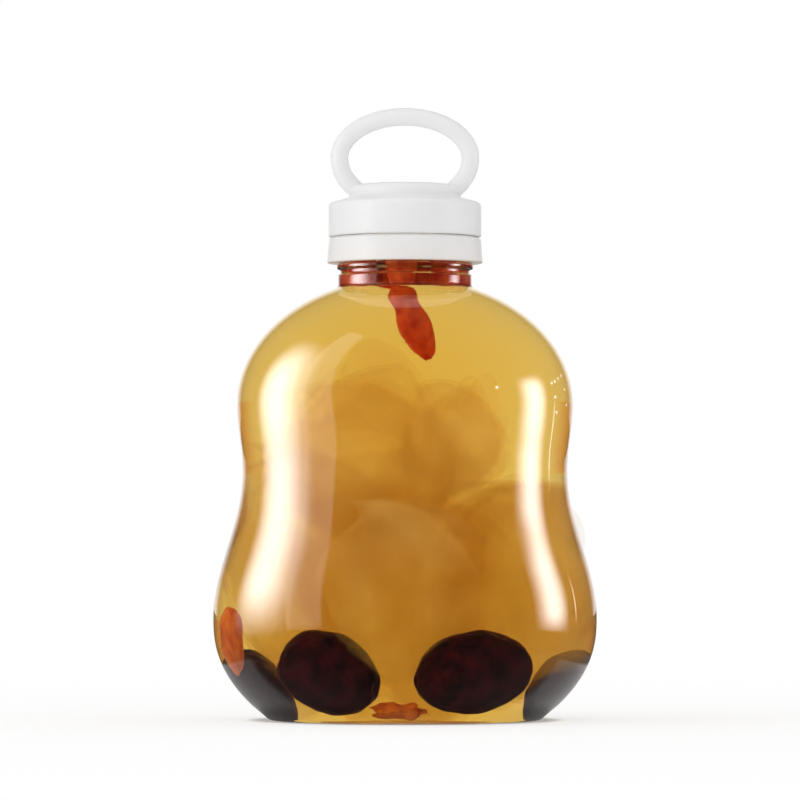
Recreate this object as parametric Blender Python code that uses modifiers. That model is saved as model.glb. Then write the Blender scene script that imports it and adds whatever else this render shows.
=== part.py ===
# A gourd-shaped clear drink bottle with a screw cap, a tamper band and a carrying loop,
# filled with a sweet drink of dates, wolfberries and snow fungus.
# The origin is the centre of the foot, +Z is the bottle's axis, the loop stands in the X-Z plane.

import math

import bmesh
import bpy
from mathutils import Euler, Matrix, Vector

MM = 0.001

GAP = 0.3 * MM  # between pieces that lie against each other
TURN_STEPS = 24  # facets round a turned piece
ROUND_FACET = 0.6 * MM  # length of a facet on a small rounded edge
MOST_ROUND_STEPS = 2
INNERMOST_SHARE = 0.8  # of the bore's radius, where the shoulder's curve is first drawn

# Bottle wall: two bulges with a waist between them, and a pushed-up base
LOWER_RADIUS = 51.3 * MM
LOWER_HEIGHT = 27.0 * MM
WAIST_RADIUS = 43.5 * MM
WAIST_HEIGHT = 66.5 * MM
UPPER_RADIUS = 45.0 * MM
UPPER_HEIGHT = 84.5 * MM
SHOULDER_RISE = 34.1 * MM  # from the upper bulge to where the shoulder would meet the axis
HEEL_INSET = 15.1 * MM  # from the lower bulge in to the foot
HEEL_CURVE = 2.35  # power of the curve from the lower bulge to the heel
HEEL_ROUND = 2.5 * MM
FOOT_WIDTH = 3.6 * MM  # flat ring with its two rounded edges
PUSH_UP_HEIGHT = 8.0 * MM
GATE_RADIUS = 2.2 * MM  # nub left where the preform was filled
GATE_DROP = 0.9 * MM
WALL = 0.8 * MM

# Neck finish, from the shoulder up
NECK_RADIUS = 17.3 * MM
NECK_WALL = 2.05 * MM
SHOULDER_ROUND = 1.5 * MM  # inside, where the neck opens into the shoulder
COLLAR_DEPTH = 0.6 * MM  # soft bead where the shoulder ends
COLLAR_HEIGHT = 3.2 * MM
COLLAR_GROOVE = 1.5 * MM
FLANGE_DEPTH = 1.0 * MM
FLANGE_THICKNESS = 1.4 * MM
FINISH_HEIGHT = 13.8 * MM  # from the flange to the mouth
CATCH_DEPTH = 1.4 * MM  # bead that holds the tamper band down
CATCH_HEIGHT = 1.6 * MM
LIP_ROUND = 0.5 * MM

# Tamper band
BAND_ROOM = 2.0 * MM  # between the neck and the band
BAND_WALL = 1.1 * MM
BAND_FLARE = 0.5 * MM
BAND_HEIGHT = 6.4 * MM
BAND_LIP_HEIGHT = 1.6 * MM
BRIDGE_COUNT = 12
BRIDGE_WIDTH = 1.2 * MM
BRIDGE_HEIGHT = 0.3 * MM

# Cap
THREAD_ROOM = 1.9 * MM  # between the neck and the skirt
SKIRT_WALL = 1.3 * MM
CAP_PLATE = 1.3 * MM  # at its edge
CAP_SLOPE = 1.7 * MM  # rise of the top from its edge to the boss
CAP_ROUND = 1.2 * MM
SHELF_WIDTH = 6.0 * MM  # sloping top between the skirt and the boss
BOSS_HEIGHT = 3.3 * MM
BOSS_ROUND = 2.4 * MM
BOSS_FILLET = 0.8 * MM
BOSS_WALL = 1.7 * MM
HOLLOW_ROUND = 1.0 * MM
LINER_THICKNESS = 0.7 * MM
KEEPER_DEPTH = 0.6 * MM  # bead inside the skirt that keeps the liner in
KEEPER_HEIGHT = 0.6 * MM

# Carrying loop, an oval that stands on the cap and sinks into the boss
LOOP_SETBACK = 0.5 * MM  # from the skirt in to the loop's side
LOOP_LIFT = 7.2 * MM  # from the boss up to where the loop is widest
LOOP_UPPER_RISE = 13.5 * MM  # from there to its top
LOOP_LOWER_RISE = 12.7 * MM  # and down to the lowest point of its centre line
LOOP_THICKNESS = 4.8 * MM
LOOP_DEPTH = 4.4 * MM
LOOP_STEPS = 36

# Contents
HEADSPACE = 5.3 * MM  # from the drink up to the mouth
PRESS = 0.2 * MM  # how far a soft piece is squeezed flat against the wall
DATE_LENGTH = 25.0 * MM
DATE_WIDTH = 20.5 * MM
DATE_SETBACK = 1.5 * MM
DATE_RIBS = 5
DATE_RIB_DEPTH = 0.04  # of its half width
NECK_BERRIES = 6
NECK_BERRY_BEARING = 26.0  # of the first one, in degrees
BERRY_LENGTH = 17.0 * MM
BERRY_WIDTH = 8.0 * MM
BERRY_DEPTH = 1.0 * MM  # from the drink's surface to the berries' tops
BERRY_STAGGER = 1.6 * MM
BERRY_BEND = 1.0 * MM
LOBE_FRILLS = 3

# Radii and heights that follow from the sizes above
HEEL_RADIUS = LOWER_RADIUS - HEEL_INSET
BORE_RADIUS = NECK_RADIUS - NECK_WALL
DRINK_BORE = BORE_RADIUS - GAP
CAP_INNER_RADIUS = NECK_RADIUS + THREAD_ROOM
CAP_RADIUS = CAP_INNER_RADIUS + SKIRT_WALL
BOSS_RADIUS = CAP_RADIUS - SHELF_WIDTH
BAND_INNER_RADIUS = NECK_RADIUS + BAND_ROOM
BAND_TOP_RADIUS = BAND_INNER_RADIUS + BAND_WALL
NECK_ANGLE = math.acos(NECK_RADIUS / UPPER_RADIUS)  # where the shoulder's ellipse meets the neck
COLLAR_FOOT = UPPER_HEIGHT + SHOULDER_RISE * math.sin(NECK_ANGLE)
COLLAR_TOP = COLLAR_FOOT + COLLAR_HEIGHT
FLANGE_FOOT = COLLAR_TOP + COLLAR_GROOVE
FLANGE_TOP = FLANGE_FOOT + FLANGE_THICKNESS
BAND_FOOT = FLANGE_TOP + GAP
BAND_LIP_TOP = BAND_FOOT + BAND_LIP_HEIGHT
BAND_TOP = BAND_FOOT + BAND_HEIGHT
CATCH_FOOT = BAND_LIP_TOP + GAP
CATCH_TOP = CATCH_FOOT + CATCH_HEIGHT
MOUTH_HEIGHT = FLANGE_TOP + FINISH_HEIGHT
FILL_HEIGHT = MOUTH_HEIGHT - HEADSPACE
LINER_FOOT = MOUTH_HEIGHT + GAP
LINER_TOP = LINER_FOOT + LINER_THICKNESS
CAP_CEILING = LINER_TOP + GAP
CAP_EDGE = CAP_CEILING + CAP_PLATE
CAP_FOOT = BAND_TOP + BRIDGE_HEIGHT + GAP
BOSS_FOOT = CAP_EDGE + CAP_SLOPE
BOSS_TOP = BOSS_FOOT + BOSS_HEIGHT

COLOURS = {
    "clear_plastic": ((0.93, 0.95, 0.95), 0.05, 0.25),
    "milky_plastic": ((0.86, 0.86, 0.87), 0.38, 1.0),
    "foam": ((0.93, 0.92, 0.90), 0.7, 1.0),
    "drink": ((0.80, 0.47, 0.10), 0.05, 0.5),
    "date": ((0.10, 0.012, 0.012), 0.3, 1.0),
    "berry": ((0.55, 0.06, 0.02), 0.3, 1.0),
    "fungus": ((0.83, 0.62, 0.30), 0.35, 1.0),
}


def clear_scene():
    for item in list(bpy.data.objects):
        bpy.data.objects.remove(item, do_unlink=True)


def new_collection(name):
    collection = bpy.data.collections.new(name)
    bpy.context.scene.collection.children.link(collection)
    return collection


def make_material(name):
    colour, roughness, alpha = COLOURS[name]
    material = bpy.data.materials.new(name)
    material.use_nodes = True
    shader = material.node_tree.nodes["Principled BSDF"]
    shader.inputs["Base Color"].default_value = (*colour, 1.0)
    shader.inputs["Roughness"].default_value = roughness
    shader.inputs["Metallic"].default_value = 0.0
    shader.inputs["Alpha"].default_value = alpha
    return material


def add_part(name, mesh, material_name):
    part = bpy.data.objects.new(name, mesh)
    part.data.materials.append(MATERIALS[material_name])
    PARTS.objects.link(part)
    return part


def add_cutter(name, mesh):
    cutter = bpy.data.objects.new(name, mesh)
    cutter.hide_render = True
    cutter.display_type = "WIRE"
    CUTTERS.objects.link(cutter)
    return cutter


def add_boolean(part, cutter, operation):
    modifier = part.modifiers.new(cutter.name, "BOOLEAN")
    modifier.operation = operation
    modifier.solver = "EXACT"
    modifier.object = cutter


# Profiles are lists of (radius, height) points


def rounded(corners):
    """Points through (radius, height, fillet) corners, with an arc at each fillet."""
    points = []
    for index, (radius, height, fillet) in enumerate(corners):
        corner = Vector((radius, height))
        if fillet == 0:
            points.append(tuple(corner))
            continue
        before = Vector(corners[index - 1][:2]) - corner
        after = Vector(corners[index + 1][:2]) - corner
        half_angle = before.angle(after) / 2
        reach = fillet / math.tan(half_angle)
        start = corner + before.normalized() * reach
        middle = (before.normalized() + after.normalized()).normalized()
        centre = corner + middle * fillet / math.sin(half_angle)
        sweep = (start - centre).angle_signed(corner + after.normalized() * reach - centre)
        steps = min(MOST_ROUND_STEPS, max(1, round(fillet / ROUND_FACET)))
        for step in range(steps + 1):
            turn = Matrix.Rotation(-sweep * step / steps, 2)
            points.append(tuple(centre + turn @ (start - centre)))
    return points


def cosine_run(start, end, steps):
    """Half a cosine wave from one (radius, height) to another, upright at both ends."""
    points = []
    for step in range(steps):
        share = step / steps
        swing = (1 - math.cos(math.pi * share)) / 2
        radius = start[0] + (end[0] - start[0]) * swing
        points.append((radius, start[1] + (end[1] - start[1]) * share))
    return points


def shoulder_point(angle):
    rise = SHOULDER_RISE * math.sin(angle)
    return (UPPER_RADIUS * math.cos(angle), UPPER_HEIGHT + rise)


def wall_path():
    """The bottle's outer wall, from inside the neck down to the middle of the base."""
    points = [shoulder_point(math.acos(INNERMOST_SHARE * BORE_RADIUS / UPPER_RADIUS))]
    points += [shoulder_point(NECK_ANGLE * (1 - step / 7)) for step in range(7)]
    upper = (UPPER_RADIUS, UPPER_HEIGHT)
    waist = (WAIST_RADIUS, WAIST_HEIGHT)
    lower = (LOWER_RADIUS, LOWER_HEIGHT)
    points += cosine_run(upper, waist, 3)
    points += cosine_run(waist, lower, 6)
    for share in (0.0, 0.2, 0.4, 0.6, 0.8):
        drop = (LOWER_RADIUS - HEEL_RADIUS) * share**HEEL_CURVE
        points.append((LOWER_RADIUS - drop, LOWER_HEIGHT * (1 - share)))
    foot = [
        (*points[-1], 0),
        (HEEL_RADIUS, 0.0, HEEL_ROUND),
        (HEEL_RADIUS - FOOT_WIDTH, 0.0, HEEL_ROUND),
        (*push_up_point(0.8), 0),
    ]
    points += rounded(foot)[1:]
    points += [push_up_point(share) for share in (0.55, 0.3, 0.12)]
    points.append((0.0, PUSH_UP_HEIGHT))
    return points


def push_up_point(share):
    """A point of the domed base, at a share of the way from its middle to the foot."""
    edge = HEEL_RADIUS - FOOT_WIDTH
    sphere = (edge**2 + PUSH_UP_HEIGHT**2) / (2 * PUSH_UP_HEIGHT)
    radius = edge * share
    return (radius, math.sqrt(sphere**2 - radius**2) - sphere + PUSH_UP_HEIGHT)


def inset(points, distance):
    """The same path moved towards the inside of the bottle, square to itself."""
    moved = []
    for index, (radius, height) in enumerate(points):
        before = Vector(points[max(index - 1, 0)])
        after = Vector(points[min(index + 1, len(points) - 1)])
        along = (after - before).normalized()
        if radius == 0:
            along = Vector((-1.0, 0.0))
        moved.append((radius + along.y * distance, height - along.x * distance))
    return moved


def from_radius(points, radius):
    """The path from where it crosses a radius on its way out."""
    for index in range(1, len(points)):
        near, far = points[index - 1], points[index]
        if far[0] > radius:
            share = (radius - near[0]) / (far[0] - near[0])
            height = near[1] + (far[1] - near[1]) * share
            return [(radius, height)] + points[index:]
    return points


def bottle_profile():
    outer = from_radius(wall_path(), NECK_RADIUS)
    inner = from_radius(inset(wall_path(), WALL), BORE_RADIUS)
    collar_radius = NECK_RADIUS + COLLAR_DEPTH
    collar_round = COLLAR_HEIGHT * 0.3
    flange_radius = NECK_RADIUS + FLANGE_DEPTH
    flange_round = FLANGE_THICKNESS * 0.25
    catch_radius = NECK_RADIUS + CATCH_DEPTH
    neck = rounded(
        [
            (BORE_RADIUS, MOUTH_HEIGHT - 2 * LIP_ROUND, 0),
            (BORE_RADIUS, MOUTH_HEIGHT, LIP_ROUND),
            (NECK_RADIUS, MOUTH_HEIGHT, LIP_ROUND),
            (NECK_RADIUS, CATCH_TOP + CATCH_DEPTH, 0),
            (catch_radius, CATCH_TOP, 0),
            (catch_radius, CATCH_FOOT, 0),
            (NECK_RADIUS, CATCH_FOOT, 0),
            (NECK_RADIUS, FLANGE_TOP, 0),
            (flange_radius, FLANGE_TOP, flange_round),
            (flange_radius, FLANGE_FOOT, flange_round),
            (NECK_RADIUS, FLANGE_FOOT, 0),
            (NECK_RADIUS, COLLAR_TOP, 0),
            (collar_radius, COLLAR_TOP, collar_round),
            (collar_radius, COLLAR_FOOT, collar_round),
        ]
        + [(*outer[0], 0)]
    )
    gate = [
        (GATE_RADIUS, PUSH_UP_HEIGHT),
        (GATE_RADIUS, PUSH_UP_HEIGHT - GATE_DROP),
        (0.0, PUSH_UP_HEIGHT - GATE_DROP),
    ]
    shoulder = [(*inner[1], 0), (*inner[0], SHOULDER_ROUND), (BORE_RADIUS, FILL_HEIGHT, 0)]
    inside = list(reversed(inner[2:])) + rounded(shoulder)[:-1]
    return inside + neck + outer[1:-1] + gate


def turned(name, points, material_name=None):
    """A solid of revolution. The profile runs down its outer side."""
    mesh = bpy.data.meshes.new(name)
    edges = [(index, index + 1) for index in range(len(points) - 1)]
    mesh.from_pydata([(radius, 0.0, height) for radius, height in points], edges, [])
    part = add_part(name, mesh, material_name) if material_name else add_cutter(name, mesh)
    screw = part.modifiers.new("Turn", "SCREW")
    screw.axis = "Z"
    screw.angle = math.radians(360)
    screw.steps = TURN_STEPS
    screw.render_steps = TURN_STEPS
    screw.use_merge_vertices = True
    screw.merge_threshold = 0.00001
    screw.use_smooth_shade = True
    return part


def make_bottle():
    turned("bottle_body", bottle_profile(), "clear_plastic")


def make_tamper_band():
    lip_radius = NECK_RADIUS + GAP
    profile = rounded(
        [
            (BAND_INNER_RADIUS, BAND_TOP, 0),
            (BAND_TOP_RADIUS, BAND_TOP, BAND_WALL * 0.3),
            (BAND_TOP_RADIUS + BAND_FLARE, BAND_FOOT, BAND_WALL * 0.4),
            (lip_radius, BAND_FOOT, 0),
            (lip_radius, BAND_LIP_TOP, 0),
            (BAND_INNER_RADIUS, BAND_LIP_TOP, 0),
            (BAND_INNER_RADIUS, BAND_TOP, 0),
        ]
    )
    band = turned("tamper_band", profile, "milky_plastic")
    depth = BAND_WALL * 0.5
    middle = BAND_INNER_RADIUS + BAND_WALL * 0.4
    for index in range(BRIDGE_COUNT):
        angle = math.radians(360) * (index + 0.5) / BRIDGE_COUNT
        bm = bmesh.new()
        bmesh.ops.create_cube(bm, size=1.0)
        bm.transform(Matrix.Diagonal((depth, BRIDGE_WIDTH, 2 * BRIDGE_HEIGHT, 1.0)))
        bm.transform(Matrix.Translation((middle, 0.0, BAND_TOP)))
        bm.transform(Matrix.Rotation(angle, 4, "Z"))
        mesh = bpy.data.meshes.new(f"bridge_{index + 1}")
        bm.to_mesh(mesh)
        bm.free()
        add_boolean(band, add_cutter(mesh.name, mesh), "UNION")


def make_cap():
    outside = rounded(
        [
            (0.0, BOSS_TOP, 0),
            (BOSS_RADIUS, BOSS_TOP, BOSS_ROUND),
            (BOSS_RADIUS, BOSS_FOOT, BOSS_FILLET),
            (CAP_RADIUS, CAP_EDGE, CAP_ROUND),
            (CAP_RADIUS, CAP_FOOT, 0),
            (0.0, CAP_FOOT, 0),
        ]
    )
    cap = turned("cap", outside, "milky_plastic")
    add_boolean(cap, make_loop_form(), "UNION")
    keeper_radius = CAP_INNER_RADIUS - KEEPER_DEPTH
    keeper_top = LINER_FOOT - GAP
    keeper_foot = keeper_top - KEEPER_HEIGHT
    hollow_radius = BOSS_RADIUS - BOSS_WALL
    hollow_top = BOSS_TOP - BOSS_WALL
    below = CAP_FOOT - SKIRT_WALL
    inside = rounded(
        [
            (0.0, hollow_top, 0),
            (hollow_radius, hollow_top, HOLLOW_ROUND),
            (hollow_radius, CAP_CEILING, 0),
            (CAP_INNER_RADIUS, CAP_CEILING, 0),
            (CAP_INNER_RADIUS, keeper_top, 0),
            (keeper_radius, keeper_top, 0),
            (keeper_radius, keeper_foot, 0),
            (CAP_INNER_RADIUS, keeper_foot - KEEPER_DEPTH, 0),
            (CAP_INNER_RADIUS, below, 0),
            (0.0, below, 0),
        ]
    )
    add_boolean(cap, turned("cap_hollow", inside), "DIFFERENCE")


def make_loop_form():
    """The oval loop, swept as a round bar and then pressed a little flatter in depth."""
    curve = bpy.data.curves.new("loop", "CURVE")
    curve.dimensions = "3D"
    curve.bevel_depth = LOOP_THICKNESS / 2
    curve.bevel_resolution = 2
    spline = curve.splines.new("POLY")
    spline.points.add(LOOP_STEPS - 1)
    spline.use_cyclic_u = True
    half_width = CAP_RADIUS - LOOP_SETBACK - LOOP_THICKNESS / 2
    upper_rise = LOOP_UPPER_RISE - LOOP_THICKNESS / 2
    for index, point in enumerate(spline.points):
        angle = math.radians(360) * index / LOOP_STEPS
        rise = upper_rise if math.sin(angle) > 0 else LOOP_LOWER_RISE
        height = BOSS_TOP + LOOP_LIFT + rise * math.sin(angle)
        point.co = (half_width * math.cos(angle), 0.0, height, 1.0)
    guide = bpy.data.objects.new("loop_guide", curve)
    CUTTERS.objects.link(guide)
    bpy.context.view_layer.update()
    graph = bpy.context.evaluated_depsgraph_get()
    mesh = bpy.data.meshes.new_from_object(guide.evaluated_get(graph))
    bpy.data.objects.remove(guide, do_unlink=True)
    mesh.transform(Matrix.Diagonal((1.0, LOOP_DEPTH / LOOP_THICKNESS, 1.0, 1.0)))
    return add_cutter("loop_form", mesh)


def make_liner():
    radius = CAP_INNER_RADIUS - GAP
    profile = [(0.0, LINER_TOP), (radius, LINER_TOP), (radius, LINER_FOOT), (0.0, LINER_FOOT)]
    turned("seal_liner", profile, "foam")


def sphere_mesh(name, rings, segments, shape):
    """A ball whose every point is moved by shape(unit direction)."""
    bm = bmesh.new()
    bmesh.ops.create_uvsphere(bm, u_segments=segments, v_segments=rings, radius=1.0)
    for vertex in bm.verts:
        vertex.co = shape(vertex.co.normalized())
    # Twisted four-sided faces would split one way here and another way after a cut
    bmesh.ops.triangulate(bm, faces=bm.faces, quad_method="FIXED")
    mesh = bpy.data.meshes.new(name)
    bm.to_mesh(mesh)
    bm.free()
    mesh.shade_smooth()
    return mesh


def date_shape(length, width, spare):
    """A plump date with shallow ribs along it. Its length lies along Z."""

    def shape(direction):
        around = math.atan2(direction.y, direction.x)
        rib = 1 + DATE_RIB_DEPTH * math.cos(DATE_RIBS * around)
        across = (width / 2 + spare) * rib
        return Vector(
            (direction.x * across, direction.y * across, direction.z * (length / 2 + spare))
        )

    return shape


def berry_shape(length, width, bend, spare):
    """A long berry, fuller above than below, bowed by a distance at its middle."""

    def shape(direction):
        across = (width / 2 + spare) * (1 + 0.14 * direction.z)
        bow = bend * (1 - direction.z**2)
        return Vector(
            (
                direction.x * across + bow,
                direction.y * across,
                direction.z * (length / 2 + spare),
            )
        )

    return shape


def lobe_shape(width, depth, height, phase, spare):
    """A frilled lobe of fungus: a flattened ball with waves round its rim."""

    def shape(direction):
        around = math.atan2(direction.y, direction.x)
        level = math.asin(max(-1.0, min(1.0, direction.z)))
        frill = 0.10 * math.cos(LOBE_FRILLS * around + phase) * math.cos(level)
        ripple = 0.05 * math.sin(2 * level + 2 * around + phase)
        size = 1 + frill + ripple
        return Vector(
            (
                direction.x * (width / 2 * size + spare),
                direction.y * (depth / 2 * size + spare),
                direction.z * (height / 2 * size + spare),
            )
        )

    return shape


def place(name, rings, segments, make_shape, centre, turn_deg, material_name):
    """One soft solid in the drink. The wall and the pieces before it press it flat where they meet.

    Its room is the same form grown by the gap, which the drink and the later pieces leave free.
    """
    turn = Euler([math.radians(angle) for angle in turn_deg]).to_matrix().to_4x4()
    position = Matrix.Translation(centre) @ turn
    mesh = sphere_mesh(name, rings, segments, make_shape(0.0))
    mesh.transform(position)
    piece = add_part(name, mesh, material_name)
    add_boolean(piece, ENVELOPE[0], "INTERSECT")
    for room in ROOM:
        if boxes_meet(mesh, room.data):
            add_boolean(piece, room, "DIFFERENCE")
    room_mesh = sphere_mesh(name + "_room", rings, segments, make_shape(GAP))
    room_mesh.transform(position)
    ROOM.append(add_cutter(name + "_room", room_mesh))


def boxes_meet(mesh, other):
    for axis in range(3):
        spans = [[vertex.co[axis] for vertex in item.vertices] for item in (mesh, other)]
        if max(spans[0]) < min(spans[1]) or max(spans[1]) < min(spans[0]):
            return False
    return True


def drink_profile():
    side = from_radius(inset(wall_path(), WALL + GAP), DRINK_BORE)
    corner = [(DRINK_BORE, FILL_HEIGHT, 0), (*side[0], SHOULDER_ROUND), (*side[1], 0)]
    return [(0.0, FILL_HEIGHT)] + rounded(corner) + side[2:]


def drink_radius(height):
    """Radius of the drink at a height above the foot."""
    side = inset(wall_path(), WALL + GAP)
    for above, below in zip(side, side[1:]):
        if above[1] >= height >= below[1]:
            share = (above[1] - height) / (above[1] - below[1])
            return above[0] + (below[0] - above[0]) * share
    return DRINK_BORE


def floor_height(radius):
    """Height of the drink's floor over the domed base."""
    return push_up_point(radius / (HEEL_RADIUS - FOOT_WIDTH))[1] + WALL + GAP


def polar(radius, angle_deg, height):
    angle = math.radians(angle_deg)
    return Vector((radius * math.cos(angle), radius * math.sin(angle), height))


def make_dates():
    """Four dates that lie on the domed base, against the heel."""
    # bearing from the axis, length as a share of DATE_LENGTH, turn from the tangent, tilt
    dates = (
        (235.0, 1.0, 10.0, 12.0),
        (302.0, 1.12, -8.0, -5.0),
        (165.0, 1.04, 30.0, 0.0),
        (15.0, 1.04, -30.0, 0.0),
    )
    reach = DATE_WIDTH / 2 - PRESS
    height = floor_height((HEEL_RADIUS - FOOT_WIDTH) * 0.8) + reach
    distance = drink_radius(height) - DATE_SETBACK - reach
    for index, (bearing, share, turn, tilt) in enumerate(dates):

        def make_shape(spare, length=DATE_LENGTH * share):
            return date_shape(length, DATE_WIDTH, spare)

        centre = polar(distance, bearing, height)
        facing = (0.0, 90.0 + tilt, bearing + 90.0 + turn)
        place(f"date_{index + 1}", 8, 10, make_shape, centre, facing, "date")


def make_berries():
    """Wolfberries packed in the neck, hanging under it, and fallen to the heel."""
    # centre, turn, length as a share of BERRY_LENGTH, bend
    berries = []
    ring = DRINK_BORE - BERRY_WIDTH / 2 + PRESS
    top = FILL_HEIGHT - BERRY_DEPTH - BERRY_LENGTH / 2
    for index in range(NECK_BERRIES):
        bearing = NECK_BERRY_BEARING + 360 * index / NECK_BERRIES
        height = top - (index % 2) * BERRY_STAGGER
        berries.append((polar(ring, bearing, height), (0, 0, bearing), 1.0, 0.0))
    pair = BERRY_WIDTH / 2 - PRESS
    middle = top - BERRY_STAGGER
    low = top - 4 * BERRY_STAGGER
    hanging = low - BERRY_LENGTH * 0.86
    berries.append((Vector((pair, pair / 2, middle)), (0, 0, 40), 1.0, 0.0))
    berries.append((Vector((-pair, -pair / 2, low)), (0, 0, 200), 1.0, 0.0))
    berries.append((Vector((pair * 0.4, -pair, hanging)), (8, -24, 0), 1.0, -BERRY_BEND))
    wall_height = LOWER_HEIGHT - BERRY_WIDTH
    wall_ring = drink_radius(wall_height) - BERRY_WIDTH / 2 + PRESS
    berries.append((polar(wall_ring, 197.0, wall_height), (0, 0, 17), 1.0, 0.0))
    trough = HEEL_RADIUS - FOOT_WIDTH / 2
    floor = WALL + GAP + BERRY_WIDTH / 2 - PRESS
    berries.append((polar(trough, 267.0, floor), (0, 90, 0), 0.85, 0.0))
    for index, (centre, turn, share, bend) in enumerate(berries):

        def make_shape(spare, length=BERRY_LENGTH * share, bend=bend):
            return berry_shape(length, BERRY_WIDTH, bend, spare)

        place(f"wolfberry_{index + 1:02}", 6, 8, make_shape, centre, turn, "berry")


def make_fungus():
    """Lobes of snow fungus that fill the middle of the bottle and rest on the dates."""
    # bearing, height of its middle as a share of the waist's, its width, depth and height
    # and its distance from the axis as shares of the drink's radius there, phase of its frills
    lobes = (
        (172.0, 0.707, 1.00, 1.25, 1.06, 0.52, 0.4),
        (8.0, 0.662, 1.00, 1.25, 0.94, 0.52, 1.9),
        (268.0, 0.632, 0.95, 0.80, 0.90, 0.60, 3.0),
        (90.0, 0.632, 0.95, 0.80, 0.96, 0.60, 4.1),
        (200.0, 1.158, 0.66, 0.85, 0.66, 0.24, 4.4),
        (330.0, 1.105, 0.60, 0.80, 0.62, 0.33, 5.2),
    )
    for index, (bearing, level, width, depth, rise, stand, phase) in enumerate(lobes):
        height = WAIST_HEIGHT * level
        radius = drink_radius(height)
        size = (radius * width, radius * depth, radius * rise)

        def make_shape(spare, size=size, phase=phase):
            return lobe_shape(*size, phase, spare)

        centre = polar(radius * stand, bearing, height)
        place(f"fungus_lobe_{index + 1}", 8, 12, make_shape, centre, (0, 0, 0), "fungus")


def make_drink():
    drink = turned("drink", drink_profile(), "drink")
    for room in ROOM:
        add_boolean(drink, room, "DIFFERENCE")


clear_scene()
PARTS = new_collection("Drink bottle")
CUTTERS = new_collection("Cutters")
MATERIALS = {name: make_material(name) for name in COLOURS}
ENVELOPE = [turned("drink_envelope", drink_profile())]
ROOM = []

make_bottle()
make_tamper_band()
make_cap()
make_liner()
make_dates()
make_berries()
make_fungus()
make_drink()
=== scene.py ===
# Looks of a clear drink bottle with a screw cap, a tamper band and a carrying loop.
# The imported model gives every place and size; each new piece rides on one of its bodies.
import math
import random

import bmesh
import bpy
from mathutils import Euler, Matrix, Vector


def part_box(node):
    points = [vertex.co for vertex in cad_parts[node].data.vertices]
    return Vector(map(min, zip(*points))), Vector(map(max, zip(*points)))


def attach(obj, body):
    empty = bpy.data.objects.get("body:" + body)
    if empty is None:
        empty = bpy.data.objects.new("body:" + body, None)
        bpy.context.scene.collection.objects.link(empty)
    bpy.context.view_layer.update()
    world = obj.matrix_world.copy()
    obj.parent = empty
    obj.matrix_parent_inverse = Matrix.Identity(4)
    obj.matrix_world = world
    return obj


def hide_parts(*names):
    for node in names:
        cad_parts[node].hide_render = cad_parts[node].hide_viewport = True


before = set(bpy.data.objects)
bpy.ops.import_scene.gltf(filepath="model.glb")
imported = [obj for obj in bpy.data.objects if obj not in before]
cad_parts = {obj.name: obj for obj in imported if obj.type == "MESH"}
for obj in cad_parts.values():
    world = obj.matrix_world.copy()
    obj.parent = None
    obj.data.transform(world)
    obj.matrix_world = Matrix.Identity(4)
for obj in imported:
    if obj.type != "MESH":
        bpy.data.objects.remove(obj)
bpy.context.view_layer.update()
mm = 0.001
print("frame loaded with", len(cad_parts), "nodes")


# Shader maths: a wire is one socket, a look is one tree of nodes


class Wire:
    def __init__(self, look, socket):
        self.look = look
        self.socket = socket

    def other(self, name):  # another output of the same node
        return Wire(self.look, self.socket.node.outputs[name])

    def maths(self, operation, first, second=0.0):
        return self.look.add("ShaderNodeMath", {"operation": operation}, {0: first, 1: second})

    def __add__(self, value):
        return self.maths("ADD", self, value)

    def __sub__(self, value):
        return self.maths("SUBTRACT", self, value)

    def __rsub__(self, value):
        return self.maths("SUBTRACT", value, self)

    def __mul__(self, value):
        return self.maths("MULTIPLY", self, value)

    def __truediv__(self, value):
        return self.maths("DIVIDE", self, value)

    __rmul__ = __mul__


class Look:
    def __init__(self, owner):  # a material, a world or a lamp
        owner.use_nodes = True
        self.owner = owner
        self.tree = owner.node_tree
        self.tree.nodes.clear()

    def add(self, kind, settings=None, sockets=None, output=0):
        node = self.tree.nodes.new(kind)
        for name, value in (settings or {}).items():
            if name == "stops":
                fillRamp(node.color_ramp, value)
            else:
                setattr(node, name, value)
        for name, value in (sockets or {}).items():
            if isinstance(value, Wire):
                self.tree.links.new(value.socket, node.inputs[name])
            else:
                node.inputs[name].default_value = value
        return Wire(self, node.outputs[output]) if node.outputs else None

    def place(self, scale=(1.0, 1.0, 1.0)):  # where a point is on its own piece, stretched
        own = self.add("ShaderNodeTexCoord").other("Object")
        return self.add("ShaderNodeMapping", None, {"Vector": own, "Scale": scale})

    def noise(self, size, detail=3.0, stretch=(1.0, 1.0, 1.0)):  # blotches about this big
        sockets = {"Vector": self.place(stretch), "Scale": 1.0 / size, "Detail": detail}
        return self.add("ShaderNodeTexNoise", None, sockets)

    def split(self, vector, output=0):
        return self.add("ShaderNodeSeparateXYZ", None, {0: vector}, output)

    def fade(self, value, start, end):  # softly from 0 to 1
        sockets = {"Value": value, "From Min": start, "From Max": end}
        return self.add("ShaderNodeMapRange", {"interpolation_type": "SMOOTHSTEP"}, sockets)

    def principled(self, sockets):
        return self.add("ShaderNodeBsdfPrincipled", None, sockets)

    def ramp(self, factor, stops):
        return self.add("ShaderNodeValToRGB", {"stops": stops}, {"Fac": factor})

    def blend(self, factor, first, second):  # of two colours
        settings = {"data_type": "RGBA"}
        return self.add("ShaderNodeMix", settings, {0: factor, 6: first, 7: second}, 2)

    def bump(self, height, distance):
        return self.add("ShaderNodeBump", None, {"Height": height, "Distance": distance})

    def mixed(self, factor, first, second):  # of two shaders
        return self.add("ShaderNodeMixShader", None, {0: factor, 1: first, 2: second})

    def surface(self, shader):
        self.add("ShaderNodeOutputMaterial", None, {"Surface": shader})
        return self.owner


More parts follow.
